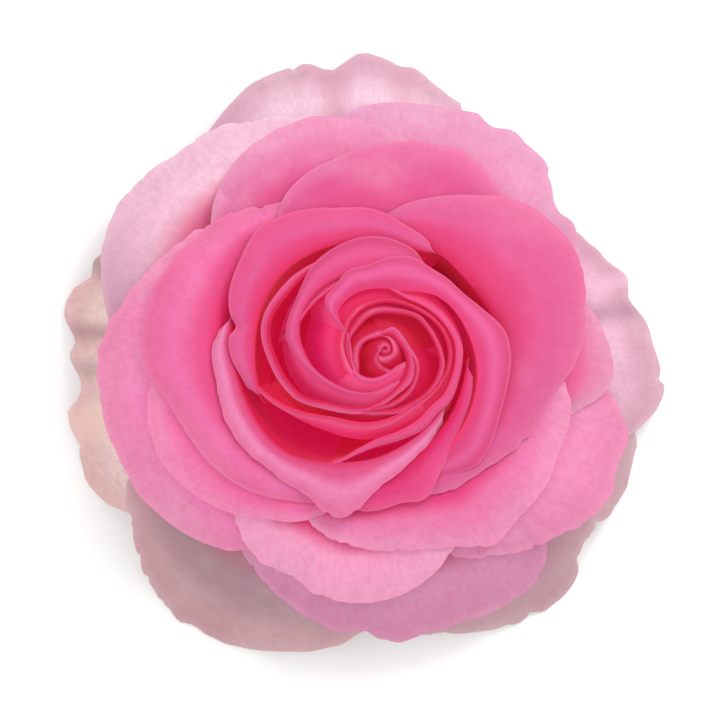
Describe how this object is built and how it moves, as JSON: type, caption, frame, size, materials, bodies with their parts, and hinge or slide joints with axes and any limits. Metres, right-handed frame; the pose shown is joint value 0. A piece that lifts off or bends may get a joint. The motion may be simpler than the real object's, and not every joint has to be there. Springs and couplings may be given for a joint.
{
  "type": "rose",
  "caption": "Full-blown pink garden rose: a rolled swirl inside cupped, then broad, then pale outer petals on a green hip with sepals and a short cut stem.",
  "frame": {"origin": "the middle of the cut stem's flat face, on the surface the bloom rests on", "axes": "+Z up the stem into the heart of the flower, +X to the right and +Y up as the picture looks down on it"},
  "size_m": [0.1099, 0.1092, 0.0483],
  "materials": {
    "green_calyx": "matt, slightly waxy green skin",
    "guard_petals": "soft matt petal, pale pink to cream",
    "outer_petals": "soft matt petal, light pink with fine veins",
    "broad_petals": "soft matt petal, mid pink with a lighter rim",
    "cup_petals": "velvety petal, strong pink, red towards its foot",
    "heart_petals": "velvety petal, crimson with a pink rim"
  },
  "bodies": {
    "root": {"calyx": "green_calyx", "guard_petal_top": "guard_petals", "guard_petal_upper_left": "guard_petals", "guard_petal_left": "guard_petals", "guard_petal_lower_left": "guard_petals", "guard_petal_lower_right": "guard_petals", "guard_petal_right": "guard_petals", "outer_petal_upper_right": "outer_petals", "outer_petal_upper_left": "outer_petals", "outer_petal_top": "outer_petals", "outer_petal_left": "outer_petals", "outer_petal_bottom": "outer_petals", "outer_petal_lower_right": "outer_petals", "outer_petal_right": "outer_petals", "broad_petal_bottom": "broad_petals", "broad_petal_lower_right": "broad_petals", "broad_petal_lower_left": "broad_petals", "broad_petal_upper_left": "broad_petals", "broad_petal_right": "broad_petals", "cup_petal_upper_left": "cup_petals", "cup_petal_front": "cup_petals", "cup_petal_lower_right": "cup_petals", "heart": "heart_petals"}
  },
  "joints": []
}
